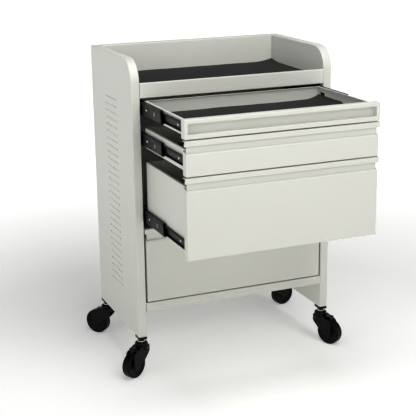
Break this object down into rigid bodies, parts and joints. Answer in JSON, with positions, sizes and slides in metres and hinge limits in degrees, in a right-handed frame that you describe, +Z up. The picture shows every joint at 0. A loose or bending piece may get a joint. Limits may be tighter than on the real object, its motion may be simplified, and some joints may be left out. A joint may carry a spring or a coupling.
{
  "type": "rolling tool chest",
  "caption": "Steel tool chest on swivel casters: recessed worktop with a mat between rounded side panels, over drawers on full-extension slides, the upper ones pulled out.",
  "frame": {"origin": "on the floor, at the middle of the footprint at rest, with the upper three drawers pulled out", "axes": "+X to the chest's right as seen from its front, +Y from the front towards the back, +Z up"},
  "size_m": [0.7151, 0.7125, 0.8965],
  "materials": {
    "cabinet_enamel": "off-white powder coat, satin, fine texture",
    "mat_rubber": "matt black foamed rubber",
    "slide_steel": "black electro-coated steel, semi-gloss",
    "zinc_steel": "bright zinc plate",
    "fork_enamel": "black coated pressed steel, semi-gloss",
    "wheel_plastic": "black moulded plastic and polyurethane, satin"
  },
  "bodies": {
    "cabinet": {"left_side_shell": "cabinet_enamel", "left_side_liner": "cabinet_enamel", "right_side_shell": "cabinet_enamel", "right_side_liner": "cabinet_enamel", "back_panel": "cabinet_enamel", "back_cover": "cabinet_enamel", "worktop_tray": "cabinet_enamel", "base_pan": "cabinet_enamel", "worktop_mat": "mat_rubber", "drawer_1_left_slide_cabinet_member": "slide_steel", "drawer_1_right_slide_cabinet_member": "slide_steel", "drawer_2_left_slide_cabinet_member": "slide_steel", "drawer_2_right_slide_cabinet_member": "slide_steel", "drawer_3_left_slide_cabinet_member": "slide_steel", "drawer_3_right_slide_cabinet_member": "slide_steel", "drawer_4_left_slide_cabinet_member": "slide_steel", "drawer_4_right_slide_cabinet_member": "slide_steel", "caster_front_left_mount": "zinc_steel", "caster_front_right_mount": "zinc_steel", "caster_rear_left_mount": "zinc_steel", "caster_rear_right_mount": "zinc_steel"},
    "drawer_1": {"drawer_1_tray": "cabinet_enamel", "drawer_1_front": "cabinet_enamel", "drawer_1_mat": "mat_rubber", "drawer_1_left_slide_drawer_member": "slide_steel", "drawer_1_right_slide_drawer_member": "slide_steel"},
    "drawer_1_left_slide_middle": {"drawer_1_left_slide_middle_member": "slide_steel"},
    "drawer_1_right_slide_middle": {"drawer_1_right_slide_middle_member": "slide_steel"},
    "drawer_2": {"drawer_2_tray": "cabinet_enamel", "drawer_2_front": "cabinet_enamel", "drawer_2_mat": "mat_rubber", "drawer_2_left_slide_drawer_member": "slide_steel", "drawer_2_right_slide_drawer_member": "slide_steel"},
    "drawer_2_left_slide_middle": {"drawer_2_left_slide_middle_member": "slide_steel"},
    "drawer_2_right_slide_middle": {"drawer_2_right_slide_middle_member": "slide_steel"},
    "drawer_3": {"drawer_3_tray": "cabinet_enamel", "drawer_3_front": "cabinet_enamel", "drawer_3_mat": "mat_rubber", "drawer_3_left_slide_drawer_member": "slide_steel", "drawer_3_right_slide_drawer_member": "slide_steel"},
    "drawer_3_left_slide_middle": {"drawer_3_left_slide_middle_member": "slide_steel"},
    "drawer_3_right_slide_middle": {"drawer_3_right_slide_middle_member": "slide_steel"},
    "drawer_4": {"drawer_4_tray": "cabinet_enamel", "drawer_4_front": "cabinet_enamel", "drawer_4_mat": "mat_rubber", "drawer_4_left_slide_drawer_member": "slide_steel", "drawer_4_right_slide_drawer_member": "slide_steel"},
    "drawer_4_left_slide_middle": {"drawer_4_left_slide_middle_member": "slide_steel"},
    "drawer_4_right_slide_middle": {"drawer_4_right_slide_middle_member": "slide_steel"},
    "caster_front_left_swivel": {"caster_front_left_fork": "fork_enamel"},
    "caster_front_left_wheel": {"caster_front_left_wheel": "wheel_plastic"},
    "caster_front_left_brake_pedal": {"caster_front_left_brake_pedal": "fork_enamel"},
    "caster_front_right_swivel": {"caster_front_right_fork": "fork_enamel"},
    "caster_front_right_wheel": {"caster_front_right_wheel": "wheel_plastic"},
    "caster_front_right_brake_pedal": {"caster_front_right_brake_pedal": "fork_enamel"},
    "caster_rear_left_swivel": {"caster_rear_left_fork": "fork_enamel"},
    "caster_rear_left_wheel": {"caster_rear_left_wheel": "wheel_plastic"},
    "caster_rear_right_swivel": {"caster_rear_right_fork": "fork_enamel"},
    "caster_rear_right_wheel": {"caster_rear_right_wheel": "wheel_plastic"}
  },
  "joints": [
    {"name": "drawer_1_slide", "type": "slide", "parent": "cabinet", "child": "drawer_1", "axis": [0, -1, 0], "range_m": [-0.312, 0]},
    {"name": "drawer_1_left_slide_middle_travel", "type": "slide", "parent": "cabinet", "child": "drawer_1_left_slide_middle", "axis": [0, -1, 0], "range_m": [-0.1716, 0]},
    {"name": "drawer_1_right_slide_middle_travel", "type": "slide", "parent": "cabinet", "child": "drawer_1_right_slide_middle", "axis": [0, -1, 0], "range_m": [-0.1716, 0]},
    {"name": "drawer_2_slide", "type": "slide", "parent": "cabinet", "child": "drawer_2", "axis": [0, -1, 0], "range_m": [-0.312, 0]},
    {"name": "drawer_2_left_slide_middle_travel", "type": "slide", "parent": "cabinet", "child": "drawer_2_left_slide_middle", "axis": [0, -1, 0], "range_m": [-0.1716, 0]},
    {"name": "drawer_2_right_slide_middle_travel", "type": "slide", "parent": "cabinet", "child": "drawer_2_right_slide_middle", "axis": [0, -1, 0], "range_m": [-0.1716, 0]},
    {"name": "drawer_3_slide", "type": "slide", "parent": "cabinet", "child": "drawer_3", "axis": [0, -1, 0], "range_m": [-0.312, 0]},
    {"name": "drawer_3_left_slide_middle_travel", "type": "slide", "parent": "cabinet", "child": "drawer_3_left_slide_middle", "axis": [0, -1, 0], "range_m": [-0.1716, 0]},
    {"name": "drawer_3_right_slide_middle_travel", "type": "slide", "parent": "cabinet", "child": "drawer_3_right_slide_middle", "axis": [0, -1, 0], "range_m": [-0.1716, 0]},
    {"name": "drawer_4_slide", "type": "slide", "parent": "cabinet", "child": "drawer_4", "axis": [0, -1, 0], "range_m": [0, 0.312]},
    {"name": "drawer_4_left_slide_middle_travel", "type": "slide", "parent": "cabinet", "child": "drawer_4_left_slide_middle", "axis": [0, -1, 0], "range_m": [0, 0.1716]},
    {"name": "drawer_4_right_slide_middle_travel", "type": "slide", "parent": "cabinet", "child": "drawer_4_right_slide_middle", "axis": [0, -1, 0], "range_m": [0, 0.1716]},
    {"name": "caster_front_left_swivel", "type": "hinge", "parent": "cabinet", "child": "caster_front_left_swivel", "pos_m": [-0.2875, -0.0265, 0.1], "axis": [0, 0, 1], "continuous": true},
    {"name": "caster_front_left_wheel_spin", "type": "hinge", "parent": "caster_front_left_swivel", "child": "caster_front_left_wheel", "pos_m": [-0.31781, -0.044, 0.0375], "axis": [0.5, -0.866, 0], "continuous": true},
    {"name": "caster_front_left_brake_press", "type": "hinge", "parent": "caster_front_left_swivel", "child": "caster_front_left_brake_pedal", "pos_m": [-0.30828, -0.0385, 0.0825], "axis": [0.5, -0.866, 0], "range_deg": [0, 10]},
    {"name": "caster_front_right_swivel", "type": "hinge", "parent": "cabinet", "child": "caster_front_right_swivel", "pos_m": [0.2875, -0.0265, 0.1], "axis": [0, 0, 1], "continuous": true},
    {"name": "caster_front_right_wheel_spin", "type": "hinge", "parent": "caster_front_right_swivel", "child": "caster_front_right_wheel", "pos_m": [0.30284, -0.05796, 0.0375], "axis": [0.8988, 0.4384, 0], "continuous": true},
    {"name": "caster_front_right_brake_press", "type": "hinge", "parent": "caster_front_right_swivel", "child": "caster_front_right_brake_pedal", "pos_m": [0.29802, -0.04807, 0.0825], "axis": [0.8988, 0.4384, 0], "range_deg": [0, 10]},
    {"name": "caster_rear_left_swivel", "type": "hinge", "parent": "cabinet", "child": "caster_rear_left_swivel", "pos_m": [-0.2875, 0.2945, 0.1], "axis": [0, 0, 1], "continuous": true},
    {"name": "caster_rear_left_wheel_spin", "type": "hinge", "parent": "caster_rear_left_swivel", "child": "caster_rear_left_wheel", "pos_m": [-0.31, 0.32131, 0.0375], "axis": [-0.766, -0.6428, 0], "continuous": true},
    {"name": "caster_rear_right_swivel", "type": "hinge", "parent": "cabinet", "child": "caster_rear_right_swivel", "pos_m": [0.2875, 0.2945, 0.1], "axis": [0, 0, 1], "continuous": true},
    {"name": "caster_rear_right_wheel_spin", "type": "hinge", "parent": "caster_rear_right_swivel", "child": "caster_rear_right_wheel", "pos_m": [0.32146, 0.30297, 0.0375], "axis": [-0.2419, 0.9703, 0], "continuous": true}
  ],
  "couplings": [
    {"joint": "drawer_1_left_slide_middle_travel", "follows": "drawer_1_slide", "ratio": 0.55},
    {"joint": "drawer_1_right_slide_middle_travel", "follows": "drawer_1_slide", "ratio": 0.55},
    {"joint": "drawer_2_left_slide_middle_travel", "follows": "drawer_2_slide", "ratio": 0.55},
    {"joint": "drawer_2_right_slide_middle_travel", "follows": "drawer_2_slide", "ratio": 0.55},
    {"joint": "drawer_3_left_slide_middle_travel", "follows": "drawer_3_slide", "ratio": 0.55},
    {"joint": "drawer_3_right_slide_middle_travel", "follows": "drawer_3_slide", "ratio": 0.55},
    {"joint": "drawer_4_left_slide_middle_travel", "follows": "drawer_4_slide", "ratio": 0.55},
    {"joint": "drawer_4_right_slide_middle_travel", "follows": "drawer_4_slide", "ratio": 0.55}
  ]
}
